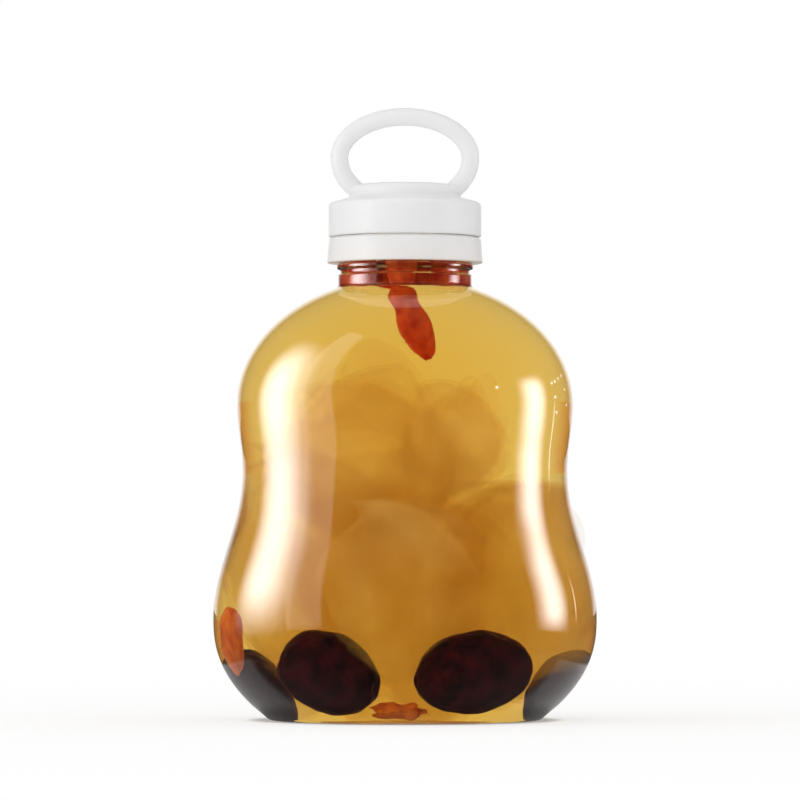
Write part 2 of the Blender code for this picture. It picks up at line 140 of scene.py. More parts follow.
def fillRamp(ramp, stops):
    while len(ramp.elements) > 1:
        ramp.elements.remove(ramp.elements[-1])
    for index, (position, shade) in enumerate(stops):
        stop = ramp.elements[0] if index == 0 else ramp.elements.new(position)
        stop.position = position
        stop.color = grey(shade) if isinstance(shade, (int, float)) else (*shade, 1.0)


def grey(value):
    return (value, value, value, 1.0)


def newLook(name):
    return Look(bpy.data.materials.new(name))


# Modelling by hand: a primitive, edit mode, then modifiers that are applied


def startFrom(primitive, name, **settings):
    bpy.ops.object.select_all(action="DESELECT")
    primitive(**settings)
    piece = bpy.context.object
    piece.name = name
    return piece


def pick(piece):
    bpy.ops.object.select_all(action="DESELECT")
    piece.select_set(True)
    bpy.context.view_layer.objects.active = piece


def edit(piece):
    pick(piece)
    bpy.ops.object.mode_set(mode="EDIT")


def stretched(piece, *shares):
    edit(piece)
    bpy.ops.mesh.select_all(action="SELECT")
    bpy.ops.transform.resize(value=shares)
    bpy.ops.object.mode_set(mode="OBJECT")


def doneEditing(piece):
    bpy.ops.mesh.select_all(action="SELECT")
    bpy.ops.mesh.remove_doubles(threshold=0.001 * mm)
    bpy.ops.mesh.normals_make_consistent(inside=False)
    bpy.ops.object.mode_set(mode="OBJECT")
    settle(piece)


def settle(piece):  # leaves the object at the origin, with its place in its mesh
    piece.data.transform(piece.matrix_world)
    piece.matrix_world = Matrix.Identity(4)
    bpy.context.view_layer.update()


def pickFaces(piece, test):
    form = bmesh.from_edit_mesh(piece.data)
    bpy.ops.mesh.select_all(action="DESELECT")
    for face in form.faces:
        if test(face.calc_center_median(), face.normal):
            face.select_set(True)
    bmesh.update_edit_mesh(piece.data)


def applied(piece, kind, **settings):
    pick(piece)
    modifier = piece.modifiers.new(kind, kind)
    for name, value in settings.items():
        setattr(modifier, name, value)
    bpy.ops.object.modifier_apply(modifier=modifier.name)


def joined(pieces, name):
    bpy.ops.object.select_all(action="DESELECT")
    for piece in pieces:
        piece.select_set(True)
    bpy.context.view_layer.objects.active = pieces[0]
    bpy.ops.object.join()
    pieces[0].name = name
    return pieces[0]


def copied(piece, matrix):  # a copy with its own mesh, put in its place
    twin = piece.copy()
    twin.data = piece.data.copy()
    bpy.context.scene.collection.objects.link(twin)
    twin.data.transform(matrix)
    return twin


def turned(name, outline, steps):
    # a point drawn along the outline in the X-Z plane, then spun about the axis
    piece = startFrom(bpy.ops.mesh.primitive_plane_add, name, size=mm)
    bpy.ops.object.mode_set(mode="EDIT")
    bpy.ops.mesh.merge(type="CENTER")
    bpy.ops.transform.translate(value=(outline[0][0], 0.0, outline[0][1]))
    for before, after in zip(outline, outline[1:]):
        step = (after[0] - before[0], 0.0, after[1] - before[1])
        bpy.ops.mesh.extrude_vertices_move(TRANSFORM_OT_translate={"value": step})
    bpy.ops.mesh.select_all(action="SELECT")
    bpy.ops.mesh.spin(steps=steps, angle=math.tau, center=(0, 0, 0), axis=(0, 0, 1))
    doneEditing(piece)
    return piece


def smooth(piece, angle=40):
    pick(piece)
    bpy.ops.object.shade_smooth_by_angle(angle=math.radians(angle))


def dress(piece, material, body, slot, *nodes):
    piece.data.materials.clear()
    piece.data.materials.append(material)
    for face in piece.data.polygons:
        face.material_index = 0
    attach(piece, body)
    if nodes:
        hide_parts(*nodes)


arcSteps = 5  # in each rounded corner


def rounded(corners, closed=False):
    # (radius, height, fillet) corners, with an arc at each fillet
    points = []
    for index, (radius, height, fillet) in enumerate(corners):
        corner = Vector((radius, height))
        if fillet == 0:
            points.append(tuple(corner))
            continue
        before = (Vector(corners[index - 1][:2]) - corner).normalized()
        following = corners[(index + 1) % len(corners)]
        after = (Vector(following[:2]) - corner).normalized()
        half = before.angle(after) / 2
        centre = corner + (before + after).normalized() * fillet / math.sin(half)
        start = corner + before * fillet / math.tan(half) - centre
        end = corner + after * fillet / math.tan(half) - centre
        sweep = start.angle_signed(end)
        for step in range(arcSteps + 1):
            turn = Matrix.Rotation(-sweep * step / arcSteps, 2)
            points.append(tuple(centre + turn @ start))
    return points + points[:1] if closed else points


# The bottle's wall: two bulges, a waist, a neck with its beads, and a pushed-up base

bottle = {
    "lowerRadius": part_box("bottle_body")[1].x,
    "lowerHeight": 27.0 * mm,
    "waistRadius": 43.5 * mm,
    "waistHeight": 66.5 * mm,
    "upperRadius": 45.0 * mm,
    "upperHeight": 84.5 * mm,
    "shoulderRise": 34.1 * mm,
    "heelInset": 15.1 * mm,
    "heelCurve": 2.35,
    "heelRound": 2.5 * mm,
    "footWidth": 3.6 * mm,
    "pushUp": 8.0 * mm,
    "gateRadius": 2.2 * mm,
    "gateDrop": 0.9 * mm,
    "wall": 0.8 * mm,
    "neckRadius": 17.3 * mm,
    "neckWall": 2.05 * mm,
    "collarDepth": 0.6 * mm,
    "collarHeight": 3.2 * mm,
    "collarGroove": 1.5 * mm,
    "flangeDepth": 1.0 * mm,
    "flangeThickness": 1.4 * mm,
    "catchDepth": 1.4 * mm,
    "catchFoot": 1.9 * mm,  # above the flange
    "catchHeight": 1.6 * mm,
    "mouth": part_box("bottle_body")[1].z,
    "fill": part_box("drink")[1].z,
    "lipRound": 0.8 * mm,
    "neckRound": 1.5 * mm,  # inside, where the neck opens into the shoulder
    "innermost": 0.8,  # of the bore, where the shoulder's curve is first drawn
    "innerSteps": 4,
    "shoulderSteps": 30,
    "upperSteps": 14,
    "lowerSteps": 22,
    "heelSteps": 20,
    "pushUpShares": (0.85, 0.7, 0.55, 0.4, 0.3, 0.2, 0.12),
    "steps": 144,
}
bottle["heelRadius"] = bottle["lowerRadius"] - bottle["heelInset"]
bottle["bore"] = bottle["neckRadius"] - bottle["neckWall"]
neckAngle = math.acos(bottle["neckRadius"] / bottle["upperRadius"])
collarFoot = bottle["upperHeight"] + bottle["shoulderRise"] * math.sin(neckAngle)
collarTop = collarFoot + bottle["collarHeight"]
flangeFoot = collarTop + bottle["collarGroove"]
flangeTop = flangeFoot + bottle["flangeThickness"]


def shoulderPoint(angle):
    rise = bottle["shoulderRise"] * math.sin(angle)
    return (bottle["upperRadius"] * math.cos(angle), bottle["upperHeight"] + rise)


def pushUpPoint(share):
    edge = bottle["heelRadius"] - bottle["footWidth"]
    rise = bottle["pushUp"]
    sphere = (edge**2 + rise**2) / (2 * rise)
    radius = edge * share
    return (radius, math.sqrt(sphere**2 - radius**2) - sphere + rise)


def swing(startRadius, startHeight, endRadius, endHeight, steps):
    # half a cosine wave, upright at both ends
    points = []
    for step in range(steps):
        share = step / steps
        radius = startRadius + (endRadius - startRadius) * (1 - math.cos(math.pi * share)) / 2
        points.append((radius, startHeight + (endHeight - startHeight) * share))
    return points


def wallPath():
    # the outer wall from inside the neck down to the middle of the base
    b = bottle
    inner = math.acos(b["innermost"] * b["bore"] / b["upperRadius"])
    points = []
    for step in range(b["innerSteps"]):
        points.append(shoulderPoint(inner + (neckAngle - inner) * step / b["innerSteps"]))
    for step in range(b["shoulderSteps"]):
        points.append(shoulderPoint(neckAngle * (1 - step / b["shoulderSteps"])))
    upper = (b["upperRadius"], b["upperHeight"])
    waist = (b["waistRadius"], b["waistHeight"])
    lower = (b["lowerRadius"], b["lowerHeight"])
    points += swing(*upper, *waist, b["upperSteps"])
    points += swing(*waist, *lower, b["lowerSteps"])
    for step in range(b["heelSteps"] - 2):  # the foot's round takes the place of the last two
        share = step / b["heelSteps"]
        drop = b["heelInset"] * share ** b["heelCurve"]
        points.append((b["lowerRadius"] - drop, b["lowerHeight"] * (1 - share)))
    foot = [
        (*points[-1], 0),
        (b["heelRadius"], 0.0, b["heelRound"]),
        (b["heelRadius"] - b["footWidth"], 0.0, b["heelRound"]),
        (*pushUpPoint(b["pushUpShares"][0]), 0),
    ]
    points += rounded(foot)[1:]
    points += [pushUpPoint(share) for share in b["pushUpShares"][1:]]
    points.append((0.0, b["pushUp"]))
    return points


def inset(points, distance):
    moved = []
    for index, (radius, height) in enumerate(points):
        before = Vector(points[max(index - 1, 0)])
        after = Vector(points[min(index + 1, len(points) - 1)])
        along = (after - before).normalized()
        if radius == 0:
            along = Vector((-1.0, 0.0))
        moved.append((radius + along.y * distance, height - along.x * distance))
    return moved


def fromRadius(points, radius):
    for index in range(1, len(points)):
        near, far = points[index - 1], points[index]
        if far[0] > radius:
            share = (radius - near[0]) / (far[0] - near[0])
            return [(radius, near[1] + (far[1] - near[1]) * share)] + points[index:]


def wallRadius(height, depth):
    # radius at a height, this deep behind the outer wall
    side = inset(wallPath(), depth)
    for above, below in zip(side, side[1:]):
        if above[1] >= height >= below[1]:
            share = (above[1] - height) / (above[1] - below[1])
            return above[0] + (below[0] - above[0]) * share


def shellOutline():
    b = bottle
    outer = fromRadius(wallPath(), b["neckRadius"])
    inner = fromRadius(inset(wallPath(), b["wall"]), b["bore"])
    collar = b["neckRadius"] + b["collarDepth"]
    flange = b["neckRadius"] + b["flangeDepth"]
    catch = b["neckRadius"] + b["catchDepth"]
    catchFoot = flangeTop + b["catchFoot"]
    catchTop = catchFoot + b["catchHeight"]
    neck = [  # radius, height and fillet of each corner
        (b["bore"], b["mouth"], b["lipRound"]),
        (b["neckRadius"], b["mouth"], b["lipRound"]),
        (b["neckRadius"], catchTop + b["catchDepth"], 0.4 * mm),
        (catch, catchTop, 0.3 * mm),
        (catch, catchFoot, 0.3 * mm),
        (b["neckRadius"], catchFoot, 0.2 * mm),
        (b["neckRadius"], flangeTop, 0.2 * mm),
        (flange, flangeTop, 0.5 * mm),
        (flange, flangeFoot, 0.55 * mm),
        (b["neckRadius"], flangeFoot, 0.55 * mm),
        (b["neckRadius"], collarTop, 0.6 * mm),
        (collar, collarTop, 0.58 * mm),
        (collar, collarFoot, 1.2 * mm),
    ]
    corners = [(*inner[1], 0), (*inner[0], b["neckRound"])] + neck + [(*outer[1], 0)]
    nub = [
        (b["gateRadius"], b["pushUp"], 0.4 * mm),
        (b["gateRadius"], b["pushUp"] - b["gateDrop"], 0.4 * mm),
        (0.0, b["pushUp"] - b["gateDrop"], 0),
    ]
    base = rounded([(*outer[-2], 0)] + nub)[1:]
    return list(reversed(inner[2:])) + rounded(corners)[1:-1] + outer[1:-1] + base


def clearPlastic(name, tint):
    look = newLook(name)
    waves = look.noise(26 * mm, 1.0, (1.0, 1.0, 0.5))
    hairs = look.noise(5 * mm, 2.0, (1.0, 1.0, 0.06))
    scuffs = look.ramp(look.noise(2.2 * mm, 4.0), [(0.62, 0.0), (0.75, 1.0)])
    height = look.split(look.place((10.0, 10.0, 10.0)), 2)
    lowDown = look.ramp(height, [(0.15, 1.0), (0.55, 0.15)])
    across = look.split(look.place())
    seam = across.maths("ABSOLUTE", across) / (0.25 * mm)
    seamRidge = seam.maths("MAXIMUM", 1 - seam, 0.0)
    relief = waves * 0.9 + hairs * 0.012 + seamRidge * 0.03
    glass = look.principled(
        {
            "Base Color": look.blend(waves, (0.985, 0.99, 0.985, 1.0), (0.965, 0.975, 0.965, 1.0)),
            "Roughness": scuffs * lowDown * 0.10 + 0.015,
            "IOR": 1.57,
            "Specular Tint": grey(tint),
            "Transmission Weight": 1.0,
            "Normal": look.bump(relief, 0.25 * mm),
        }
    )
    return look.surface(lampsPass(look, glass, (0.97, 0.97, 0.96, 1.0)))


def lampsPass(look, shader, tint):
    # lamps shine straight through, so that what is inside is lit and the floor's shadow is soft
    shadowRay = look.add("ShaderNodeLightPath").other("Is Shadow Ray")
    through = look.add("ShaderNodeBsdfTransparent", None, {"Color": tint})
    return look.mixed(shadowRay, shader, through)


def isWet(centre, normal):  # a face of the inner wall that the drink touches
    middle = Vector((0.0, 0.0, 60 * mm))
    inward = normal.dot(middle - centre) > 0
    inBore = math.hypot(centre.x, centre.y) < bottle["bore"] + 0.1 * mm
    below = centre.z < collarFoot - 1.0 * mm or inBore
    return inward and below and centre.z < bottle["fill"]


shell = turned("bottle_shell", shellOutline(), bottle["steps"])
smooth(shell)
dress(shell, clearPlastic("clear_plastic", 1.0), "bottle", "clear_plastic", "bottle_body")
shell.data.materials.append(clearPlastic("wetted_plastic", 0.0))
for face in shell.data.polygons:
    face.material_index = 1 if isWet(face.center, face.normal) else 0
print("bottle shell made")


# The drink: it lies a hair inside the wall, so that light passes from plastic to drink

drink = {
    "overlap": 0.12 * mm,
    "meniscus": 0.7 * mm,
    "meniscusWidth": 2.4 * mm,
    "meniscusSteps": 7,
    "absorbed": (0.919, 0.731, 0.031, 1.0),
    "density": 32.0,
}


def drinkOutline():
    d = drink
    bore = bottle["bore"] + d["overlap"]
    side = fromRadius(inset(wallPath(), bottle["wall"] - d["overlap"]), bore)
    points = [(0.0, bottle["fill"] - d["meniscus"])]
    for step in range(1, d["meniscusSteps"] + 1):
        share = step / d["meniscusSteps"]
        radius = bore - d["meniscusWidth"] * (1 - share)
        points.append((radius, bottle["fill"] - d["meniscus"] * (1 - share**2)))
    corner = [(*points[-1], 0), (*side[0], bottle["neckRound"]), (*side[1], 0)]
    return points + rounded(corner)[1:] + side[2:]


def drinkLook():
    look = newLook("drink")
    cloud = look.noise(22 * mm, 3.0, (1.0, 1.0, 0.6))
    liquid = look.principled(
        {
            "Base Color": look.blend(cloud, (1.0, 0.985, 0.95, 1.0), (0.99, 0.96, 0.90, 1.0)),
            "Roughness": 0.0,
            "IOR": 1.34,
            "Specular Tint": grey(0.0),  # against plastic it hardly mirrors
            "Transmission Weight": 1.0,
        }
    )
    absorb = look.add(
        "ShaderNodeVolumeAbsorption",
        None,
        {"Color": drink["absorbed"], "Density": drink["density"]},
    )
    shader = lampsPass(look, liquid, (0.95, 0.90, 0.80, 1.0))
    sockets = {"Surface": shader, "Volume": absorb}
    look.add("ShaderNodeOutputMaterial", None, sockets)
    return look.owner


liquid = turned("drink_body", drinkOutline(), bottle["steps"])
smooth(liquid, 60)
dress(liquid, drinkLook(), "bottle", "drink", "drink")
print("drink made")


# Three threads on the neck, seen when the cap is up

thread = {
    "starts": 3,
    "sweep": math.radians(150),
    "lead": 9.5 * mm,
    "foot": 5.8 * mm,  # above the flange
    "depth": 1.1 * mm,
    "sunk": 0.25,  # of its depth, in the wall that carries it
    "width": 1.9 * mm,
    "crest": 0.45,  # of its width
    "taper": math.radians(14),  # in which each end runs out
    "endDepth": 0.15,  # of its depth
    "steps": 60,
}


def threadRidge(name, radius, outward):
    # a small tapered bar, wound up the neck by a screw
    t = thread
    bar = startFrom(bpy.ops.mesh.primitive_plane_add, name, size=1.0)
    bpy.ops.object.mode_set(mode="EDIT")
    bpy.ops.transform.rotate(value=math.pi / 2, orient_axis="X", center_override=(0, 0, 0))
    bpy.ops.transform.resize(value=(t["depth"] * (1 + t["sunk"]), 1.0, t["width"]))
    bpy.ops.object.mode_set(mode="OBJECT")
    for corner in bar.data.vertices:
        corner.co.z *= t["crest"] if corner.co.x * outward > 0 else 1.0
        corner.co.x += radius + outward * t["depth"] * (1 - t["sunk"]) / 2
    edit(bar)
    bpy.ops.mesh.select_all(action="SELECT")
    bpy.ops.mesh.delete(type="ONLY_FACE")
    bpy.ops.object.mode_set(mode="OBJECT")
    applied(
        bar,
        "SCREW",
        angle=t["sweep"],
        screw_offset=t["lead"] * t["sweep"] / math.tau,
        steps=t["steps"],
        render_steps=t["steps"],
        use_merge_vertices=False,
    )
    low = min(point.co.z for point in bar.data.vertices)
    for point in bar.data.vertices:
        around = math.atan2(point.co.y, point.co.x) % math.tau
        reach = min(around, t["sweep"] - around) / t["taper"]
        fade = max(0.0, min(1.0, reach))
        flat = math.hypot(point.co.x, point.co.y)
        base = radius - outward * t["sunk"] * t["depth"]
        flatNew = base + (flat - base) * (t["endDepth"] + (1 - t["endDepth"]) * fade)
        point.co.x *= flatNew / flat
        point.co.y *= flatNew / flat
        point.co.z -= low
    edit(bar)
    bpy.ops.mesh.select_all(action="SELECT")
    bpy.ops.mesh.fill_holes(sides=4)
    doneEditing(bar)
    return bar


def makeThreads(name, radius, outward, height):
    first = threadRidge(name, radius, outward)
    turns = [
        copied(first, Matrix.Rotation(math.tau * start / thread["starts"], 4, "Z"))
        for start in range(1, thread["starts"])
    ]
    piece = joined([first] + turns, name)
    piece.data.transform(Matrix.Translation((0, 0, height)))
    smooth(piece, 50)
    return piece


neckThread = makeThreads("neck_thread", bottle["neckRadius"], 1, flangeTop + thread["foot"])
packedPlastic = bpy.data.materials["clear_plastic"]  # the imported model's own, which is plainer
dress(neckThread, packedPlastic, "bottle", "clear_plastic")
print("neck thread made")


# Milky plastic of the cap and band


def milkyPlastic(name, tone, shine):
    look = newLook(name)
    clouds = look.noise(9 * mm, 2.0)
    grain = look.noise(0.35 * mm, 2.0)
    flow = look.noise(3.5 * mm, 3.0, (1.0, 1.0, 0.25))
    high = tuple(channel * 1.02 for channel in tone)
    low = tuple(channel * 0.97 for channel in tone)
    shader = look.principled(
        {
            "Base Color": look.blend(clouds, (*low, 1.0), (*high, 1.0)),
            "Roughness": flow * 0.12 + shine,
            "IOR": 1.5,
            "Subsurface Weight": 0.25,
            "Subsurface Radius": (1.0, 0.95, 0.9),
            "Subsurface Scale": 1.6 * mm,
            "Normal": look.bump(grain + flow * 3.0, 0.02 * mm),
        }
    )
    return look.surface(shader)


# The cap: a skirt, a sloping top, a hollow boss and the loop that grows out of it

cap = {
    "radius": 20.5 * mm,
    "innerRadius": 19.2 * mm,
    "foot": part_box("cap")[0].z,
    "ceiling": 137.18 * mm,
    "edge": 138.48 * mm,
    "slope": 1.7 * mm,
    "edgeRound": 1.2 * mm,
    "bossRadius": 14.5 * mm,
    "bossHeight": 3.3 * mm,
    "bossRound": 2.4 * mm,
    "bossWall": 1.7 * mm,
    "hollowRound": 1.0 * mm,
    "fillet": 0.8 * mm,
    "steps": 120,
    "loopSetback": 0.5 * mm,  # from the skirt in to the loop's side
    "loopLift": 7.2 * mm,
    "loopUpper": 13.5 * mm,
    "loopLower": 12.7 * mm,
    "loopThickness": 4.8 * mm,
    "loopDepth": 4.4 * mm,
    "loopSteps": 24,
    "cutDepth": 40 * mm,  # of the round cut that keeps the loop out of the hollow
    "voxel": 0.3 * mm,
}
bossFoot = cap["edge"] + cap["slope"]
bossTop = bossFoot + cap["bossHeight"]


def capOutline():
    c = cap
    hollow = c["bossRadius"] - c["bossWall"]
    return rounded(
        [
            (0.0, bossTop - c["bossWall"], 0),
            (hollow, bossTop - c["bossWall"], c["hollowRound"]),
            (hollow, c["ceiling"], 0.3 * mm),
            (c["innerRadius"], c["ceiling"], 0.4 * mm),
            (c["innerRadius"], c["foot"], 0.25 * mm),
            (c["radius"], c["foot"], 0.35 * mm),
            (c["radius"], c["edge"], c["edgeRound"]),
            (c["bossRadius"], bossFoot, c["fillet"]),
            (c["bossRadius"], bossTop, c["bossRound"]),
            (0.0, bossTop, 0),
        ]
    )


def makeLoop():
    c = cap
    half = c["radius"] - c["loopSetback"] - c["loopThickness"] / 2
    middle = bossTop + c["loopLift"]
    upper = c["loopUpper"] - c["loopThickness"] / 2
    loop = startFrom(bpy.ops.curve.primitive_bezier_circle_add, "loop_bar", radius=1.0)
    bend = 0.5523  # handle length that makes a round quarter
    rises = {1: upper, -1: -c["loopLower"]}
    for point in loop.data.splines[0].bezier_points:
        x, y = round(point.co.x), round(point.co.y)
        point.handle_left_type = "FREE"
        point.handle_right_type = "FREE"
        if x:
            spot = Vector((half * x, 0.0, middle))
            along = [Vector((0, 0, bend * rises[x])), Vector((0, 0, bend * rises[-x]))]
        else:
            spot = Vector((0.0, 0.0, middle + rises[y]))
            along = [Vector((-bend * half * y, 0, 0)), Vector((bend * half * y, 0, 0))]
        point.co = spot
        point.handle_left = spot + along[0]
        point.handle_right = spot + along[1]
    loop.data.resolution_u = c["loopSteps"]
    loop.data.bevel_depth = c["loopThickness"] / 2
    loop.data.bevel_resolution = 7
    bpy.ops.object.convert(target="MESH")
    loop = bpy.context.object
    loop.data.transform(Matrix.Diagonal((1.0, c["loopDepth"] / c["loopThickness"], 1.0, 1.0)))
    return loop


capShell = turned("cap_shell", capOutline(), cap["steps"])
loopBar = makeLoop()
hollowCut = startFrom(
    bpy.ops.mesh.primitive_cylinder_add,
    "hollow_cut",
    vertices=64,
    radius=cap["bossRadius"] - cap["bossWall"],
    depth=cap["cutDepth"],
    location=(0, 0, bossTop - cap["bossWall"] - cap["cutDepth"] / 2),
)
applied(loopBar, "BOOLEAN", object=hollowCut, operation="DIFFERENCE")
applied(capShell, "BOOLEAN", object=loopBar, operation="UNION")
applied(capShell, "REMESH", mode="VOXEL", voxel_size=cap["voxel"])
applied(capShell, "SMOOTH", factor=0.5, iterations=3)
for spent in (loopBar, hollowCut):
    bpy.data.objects.remove(spent, do_unlink=True)
smooth(capShell, 80)
capPlastic = milkyPlastic("cap_plastic", (0.865, 0.865, 0.87), 0.30)
dress(capShell, capPlastic, "cap", "milky_plastic", "cap")
capThread = makeThreads("cap_thread", cap["innerRadius"], -1, cap["foot"] + 0.6 * mm)
dress(capThread, capPlastic, "cap", "milky_plastic")
print("cap made")


# The tamper band with its twelve bridges

band = {
    "top": flangeTop + 0.3 * mm + 6.4 * mm,  # a gap and the band's height above the flange
    "foot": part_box("tamper_band")[0].z,
    "inner": 19.3 * mm,
    "wall": 1.1 * mm,
    "flare": 0.5 * mm,
    "upstand": 0.5 * mm,  # the thin rim inside the bridges, as wide as it is high
    "ledge": 0.1 * mm,
    "lip": 17.7 * mm,
    "lipHeight": 1.6 * mm,
    "bridges": 12,
    "bridgeWidth": 1.2 * mm,
    "bridgeHeight": 0.3 * mm,
    "bridgeDepth": 0.6,  # of the wall
    "bridgeMiddle": 0.4,  # of the wall, from its inside
    "bridgeSunk": 1.9,  # its full height, with what is sunk in the band, to what shows
    "bridgeTop": (0.8, 0.6, 1.0),
    "steps": 120,
}


def bandOutline():
    b = band
    return rounded(
        [
            (b["inner"], b["top"] + b["upstand"], 0.12 * mm),
            (b["inner"] + b["upstand"], b["top"] + b["upstand"], 0.12 * mm),
            (b["inner"] + b["upstand"], b["top"] + b["ledge"], 0.1 * mm),
            (b["inner"] + b["wall"], b["top"] + b["ledge"], 0.3 * mm),
            (b["inner"] + b["wall"] + b["flare"], b["foot"], 0.45 * mm),
            (b["lip"], b["foot"], 0.3 * mm),
            (b["lip"], b["foot"] + b["lipHeight"], 0.3 * mm),
            (b["inner"], b["foot"] + b["lipHeight"], 0.3 * mm),
        ],
        closed=True,
    )


def makeBridge():
    b = band
    bridge = startFrom(bpy.ops.mesh.primitive_cube_add, "bridge", size=1.0)
    bpy.ops.object.mode_set(mode="EDIT")
    depth, height = b["wall"] * b["bridgeDepth"], b["bridgeHeight"] * b["bridgeSunk"]
    bpy.ops.transform.resize(value=(depth, b["bridgeWidth"], height))
    pickFaces(bridge, lambda centre, normal: normal.z > 0.5)
    bpy.ops.transform.resize(value=b["bridgeTop"])
    bpy.ops.object.mode_set(mode="OBJECT")
    reach = b["inner"] + b["wall"] * b["bridgeMiddle"]
    bridge.data.transform(Matrix.Translation((reach, 0, b["top"])))
    return bridge


bandRing = turned("band_ring", bandOutline(), band["steps"])
firstBridge = makeBridge()
bridges = [
    copied(firstBridge, Matrix.Rotation(math.tau * (index + 0.5) / band["bridges"], 4, "Z"))
    for index in range(band["bridges"])
]
bpy.data.objects.remove(firstBridge, do_unlink=True)
bandRing = joined([bandRing] + bridges, "band_ring")
smooth(bandRing)
bandPlastic = milkyPlastic("band_plastic", (0.865, 0.848, 0.842), 0.25)
dress(bandRing, bandPlastic, "bottle", "milky_plastic", "tamper_band")
print("tamper band made")


# The foam liner keeps its packed form


def foamLook():
    look = newLook("liner_foam")
    cells = look.add("ShaderNodeTexVoronoi", None, {"Vector": look.place(), "Scale": 2200.0})
    tone = look.noise(4 * mm)
    shader = look.principled(
        {
            "Base Color": look.blend(tone, (0.90, 0.89, 0.87, 1.0), (0.94, 0.93, 0.92, 1.0)),
            "Roughness": tone * 0.2 + 0.55,
            "Normal": look.bump(cells, 0.05 * mm),
        }
    )
    return look.surface(shader)


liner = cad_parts["seal_liner"]
liner.data.materials.clear()
liner.data.materials.append(foamLook())


# Dates: plump, dark and finely wrinkled

dates = {
    "date_1": {"length": 27.0 * mm, "width": 20.5 * mm, "turn": (0, 104, 338), "aside": 1.7 * mm},
    "date_2": {"length": 31.0 * mm, "width": 20.5 * mm, "turn": (0, 85, 20), "aside": -2.1 * mm},
    "date_3": {"length": 26.0 * mm, "width": 18.0 * mm, "turn": (0, 90, 285), "aside": 3.5 * mm},
    "date_4": {"length": 26.0 * mm, "width": 18.0 * mm, "turn": (0, 90, 75), "aside": -1.5 * mm},
    "wrinkle": 0.5 * mm,
    "folds": ((9.0 * mm, 2.2, 1), (5.0 * mm, 1.4, 1), (1.8 * mm, 0.7, 2)),  # size, strength, depth
    "dimple": 0.12,  # of its half width, where the stalk was
    "blunt": 0.05,  # and at the far end
    "dimpleWidth": 0.35,
}


def wrinkled(piece, size, strength, depth):
    # pushes a form in and out by a cloud pattern of this size
    pattern = bpy.data.textures.new(piece.name + "_pattern", "CLOUDS")
    pattern.noise_scale = size
    pattern.noise_depth = depth
    applied(piece, "DISPLACE", texture=pattern, strength=strength, mid_level=0.62)


def placed(piece, centre, turn):
    angles = [math.radians(angle) for angle in turn]
    piece.data.transform(Matrix.Translation(centre) @ Euler(angles).to_matrix().to_4x4())


def middleOf(node):
    low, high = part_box(node)
    return (low + high) / 2


def dateLook():
    look = newLook("date")
    patches = look.noise(5 * mm, 3.0)
    creases = look.noise(1.6 * mm, 5.0, (1.0, 1.0, 0.6))
    shader = look.principled(
        {
            "Base Color": look.ramp(
                patches, [(0.3, (0.006, 0.001, 0.0015)), (0.7, (0.045, 0.004, 0.007))]
            ),
            "Roughness": creases * 0.25 + 0.2,
            "IOR": 1.06,  # skin against drink
            "Normal": look.bump(creases, 0.35 * mm),
        }
    )
    return look.surface(shader)


def makeDate(name, length, width, turn, aside=0.0):
    date = startFrom(
        bpy.ops.mesh.primitive_uv_sphere_add, name, segments=64, ring_count=40, radius=1.0
    )
    half = width / 2
    stretched(date, half, half, length / 2)
    for point in date.data.vertices:
        flat = math.hypot(point.co.x, point.co.y)
        near = max(0.0, 1 - flat / (dates["dimpleWidth"] * half))
        point.co.z -= (dates["dimple"] if point.co.z > 0 else -dates["blunt"]) * half * near**2
    for size, strength, depth in dates["folds"]:
        wrinkled(date, size, dates["wrinkle"] * strength, depth)
    low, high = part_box(name)
    lying = (high.z - low.z - width) / 2  # a thinner one lies on the same floor
    placed(date, (low + high) / 2 + Vector((aside, 0.0, -lying)), turn)
    smooth(date, 70)
    return date


dateSkin = dateLook()
for name in ("date_1", "date_2", "date_3", "date_4"):
    date = makeDate(name, **dates[name])
    date.name = name.replace("date_", "date_fruit_")
    dress(date, dateSkin, "bottle", "date", name)
print("dates made")


# Wolfberries: long, soft and creased along their length

berries = {
    "length": 17.0 * mm,
    "width": 8.0 * mm,
    "fuller": 0.14,  # at its upper end
    "slim": 0.97,
    "waistAt": 0.15,  # of its half length
    "waistWidth": 0.25,
    "crease": 0.45 * mm,
    "coarseCrease": 1.5,  # times a crease
    "neckBearing": 26.0,
    "neckCount": 6,
    "firstSoaked": 9,  # from here on they lie low and have lost some colour
}


def berryLook(name, shades):
    look = newLook(name)
    patches = look.noise(3.0 * mm, 3.0)
    creases = look.noise(0.9 * mm, 4.0)
    shader = look.principled(
        {
            "Base Color": look.ramp(patches, [(0.3, shades[0]), (0.7, shades[1])]),
            "Roughness": creases * 0.2 + 0.2,
            "IOR": 1.14,
            "Subsurface Weight": 0.3,
            "Subsurface Radius": (1.0, 0.35, 0.12),
            "Subsurface Scale": 2.0 * mm,
            "Normal": look.bump(creases, 0.15 * mm),
        }
    )
    return look.surface(shader)


def makeBerry(name, length, width, bend, waist, torn):
    berry = startFrom(
        bpy.ops.mesh.primitive_uv_sphere_add, name, segments=40, ring_count=32, radius=1.0
    )
    half = width / 2
    stretched(berry, half, half, half)
    wrinkled(berry, 2.4 * mm, berries["crease"] * berries["coarseCrease"] + torn, 1)
    wrinkled(berry, 1.0 * mm, berries["crease"], 2)
    for point in berry.data.vertices:
        share = max(-1.0, min(1.0, point.co.z / half))
        fromWaist = (share - berries["waistAt"]) / berries["waistWidth"]
        narrow = 1 - waist * math.exp(-(fromWaist**2))
        fuller = berries["slim"] * (1 + berries["fuller"] * share) * narrow
        point.co.x = point.co.x * fuller + bend * (1 - share**2)
        point.co.y *= fuller
        point.co.z *= length / width
    return berry


